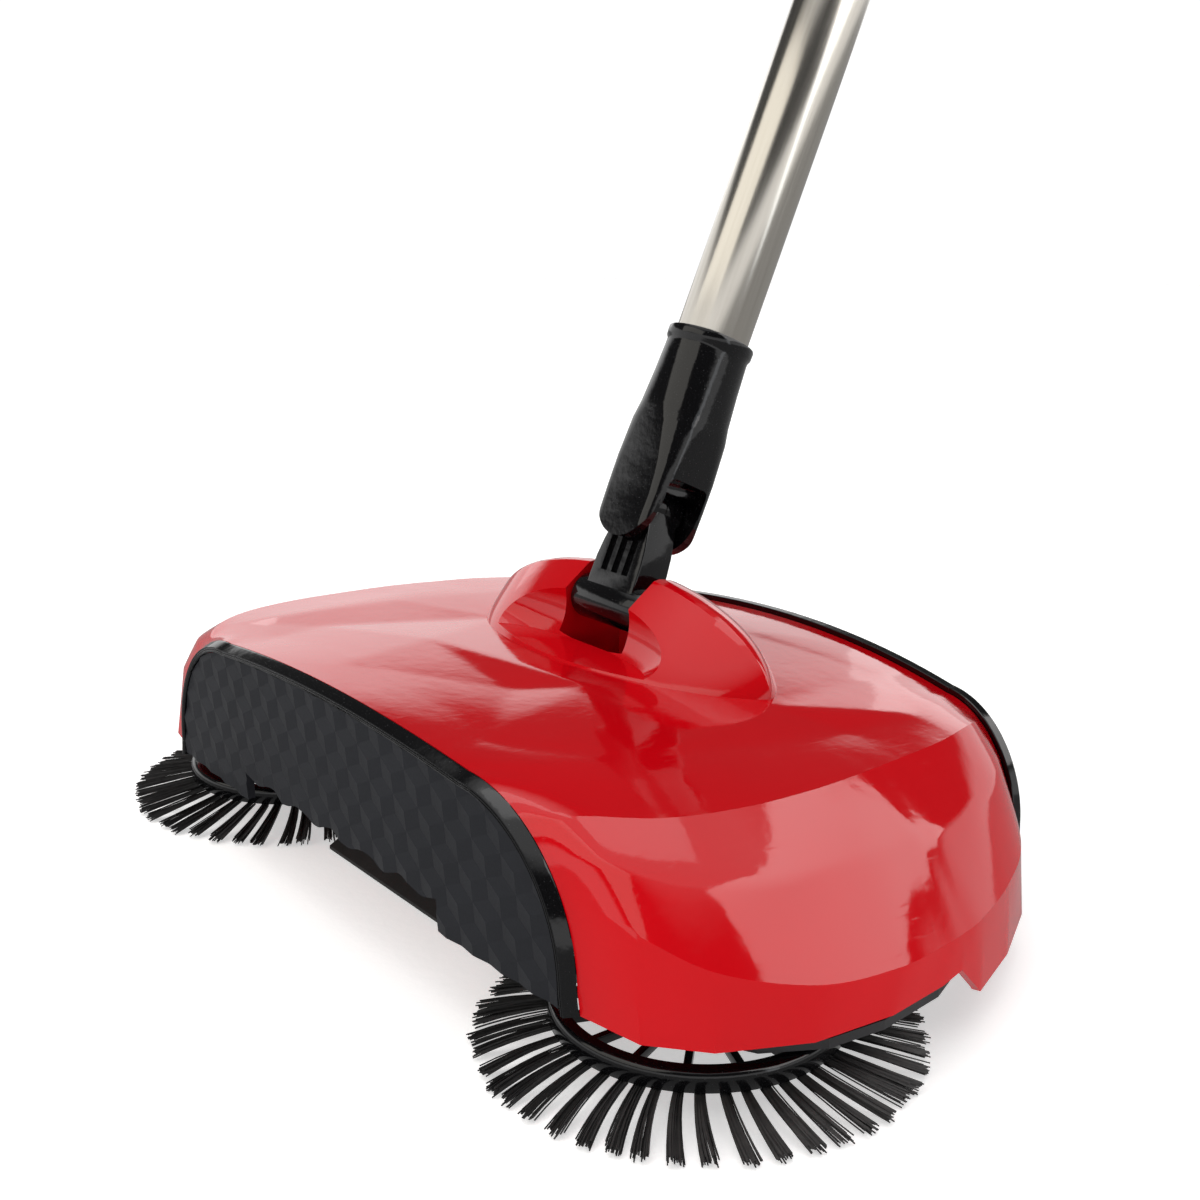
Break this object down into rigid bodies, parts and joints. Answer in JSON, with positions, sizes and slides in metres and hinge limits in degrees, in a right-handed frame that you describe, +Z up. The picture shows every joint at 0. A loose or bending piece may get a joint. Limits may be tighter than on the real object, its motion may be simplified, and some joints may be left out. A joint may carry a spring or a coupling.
{
  "type": "rotary brush floor sweeper",
  "caption": "Hand-push floor sweeper: red moulded head on two drive wheels, geared rotary brushes, pull-out dust box and a two-way pivoting steel handle.",
  "frame": {"origin": "middle of the bounding box on the floor plane, with the handle leaning back at its rest angle", "axes": "+X across the head to its right, -Y to its front (the brush side), +Z up"},
  "size_m": [0.3608, 0.479, 0.8493],
  "materials": {
    "red_gloss": "high gloss, self-coloured red ABS",
    "black_gloss": "glossy black",
    "charcoal_satin": "satin charcoal",
    "dark_plastic": "satin black",
    "grey_plastic": "satin grey",
    "stainless": "bright drawn tube, fine lengthwise grain",
    "zinc_steel": "zinc plated",
    "rubber": "matt",
    "white_nylon": "satin natural nylon",
    "bristle": "black nylon bristle tufts"
  },
  "bodies": {
    "head": {"upper_shell": "red_gloss", "front_trim": "black_gloss", "rear_trim": "black_gloss", "front_panel": "charcoal_satin", "rear_panel": "charcoal_satin", "base_plate": "dark_plastic", "scoop_ramp": "dark_plastic", "scraper_lip": "rubber", "lower_pivot_pin": "zinc_steel", "base_screw_1": "zinc_steel", "base_screw_2": "zinc_steel", "base_screw_3": "zinc_steel", "base_screw_4": "zinc_steel", "base_screw_5": "zinc_steel", "base_screw_6": "zinc_steel", "axle_bracket_left": "dark_plastic", "spindle_bracket_left": "dark_plastic", "shaft_bearing_front_left": "dark_plastic", "shaft_bearing_rear_left": "dark_plastic", "wheel_axle_left": "zinc_steel", "axle_bracket_right": "dark_plastic", "spindle_bracket_right": "dark_plastic", "shaft_bearing_front_right": "dark_plastic", "shaft_bearing_rear_right": "dark_plastic", "wheel_axle_right": "zinc_steel"},
    "wheel_left": {"wheel_hub_left": "dark_plastic", "tyre_left": "rubber", "wheel_gear_left": "white_nylon"},
    "layshaft_left": {"layshaft_left": "zinc_steel", "lay_gear_rear_left": "white_nylon", "lay_gear_front_left": "white_nylon"},
    "brush_left": {"brush_disc_left": "black_gloss", "bristles_left": "bristle", "spindle_left": "zinc_steel", "spindle_gear_left": "white_nylon", "brush_screw_left": "zinc_steel"},
    "wheel_right": {"wheel_hub_right": "dark_plastic", "tyre_right": "rubber", "wheel_gear_right": "white_nylon"},
    "layshaft_right": {"layshaft_right": "zinc_steel", "lay_gear_rear_right": "white_nylon", "lay_gear_front_right": "white_nylon"},
    "brush_right": {"brush_disc_right": "black_gloss", "bristles_right": "bristle", "spindle_right": "zinc_steel", "spindle_gear_right": "white_nylon", "brush_screw_right": "zinc_steel"},
    "dust_drawer": {"dust_box": "grey_plastic", "dust_box_front": "charcoal_satin"},
    "yoke": {"yoke": "black_gloss"},
    "handle": {"handle_socket": "black_gloss", "upper_pivot_pin": "zinc_steel", "tube_lower": "stainless", "coupler_lower": "black_gloss", "tube_middle": "stainless", "coupler_upper": "black_gloss", "tube_upper": "stainless", "grip": "black_gloss", "end_cap": "black_gloss"}
  },
  "joints": [
    {"name": "brush_spin_left", "type": "hinge", "parent": "head", "child": "brush_left", "pos_m": [-0.1174, -0.17649, 0.0205], "axis": [0, 0, 1], "continuous": true},
    {"name": "layshaft_spin_left", "type": "hinge", "parent": "head", "child": "layshaft_left", "pos_m": [-0.1174, -0.12249, 0.0205], "axis": [0, 1, 0], "continuous": true},
    {"name": "wheel_spin_left", "type": "hinge", "parent": "head", "child": "wheel_left", "pos_m": [-0.1174, -0.06249, 0.0205], "axis": [1, 0, 0], "continuous": true},
    {"name": "brush_spin_right", "type": "hinge", "parent": "head", "child": "brush_right", "pos_m": [0.1174, -0.17649, 0.0205], "axis": [0, 0, 1], "continuous": true},
    {"name": "layshaft_spin_right", "type": "hinge", "parent": "head", "child": "layshaft_right", "pos_m": [0.1174, -0.12249, 0.0205], "axis": [0, 1, 0], "continuous": true},
    {"name": "wheel_spin_right", "type": "hinge", "parent": "head", "child": "wheel_right", "pos_m": [0.1174, -0.06249, 0.0205], "axis": [1, 0, 0], "continuous": true},
    {"name": "dust_drawer_slide", "type": "slide", "parent": "head", "child": "dust_drawer", "axis": [0, 1, 0], "range_m": [0, 0.12]},
    {"name": "yoke_tilt", "type": "hinge", "parent": "head", "child": "yoke", "pos_m": [0, -0.11349, 0.0865], "axis": [1, 0, 0], "range_deg": [-55, 35]},
    {"name": "handle_side_tilt", "type": "hinge", "parent": "yoke", "child": "handle", "pos_m": [0, -0.09928, 0.11739], "axis": [0, 0.9085, -0.4179], "range_deg": [-55, 55]}
  ],
  "couplings": [
    {"joint": "layshaft_spin_left", "follows": "brush_spin_left", "ratio": 1},
    {"joint": "wheel_spin_left", "follows": "brush_spin_left", "ratio": 1},
    {"joint": "layshaft_spin_right", "follows": "brush_spin_right", "ratio": 1},
    {"joint": "wheel_spin_right", "follows": "brush_spin_right", "ratio": -1}
  ]
}
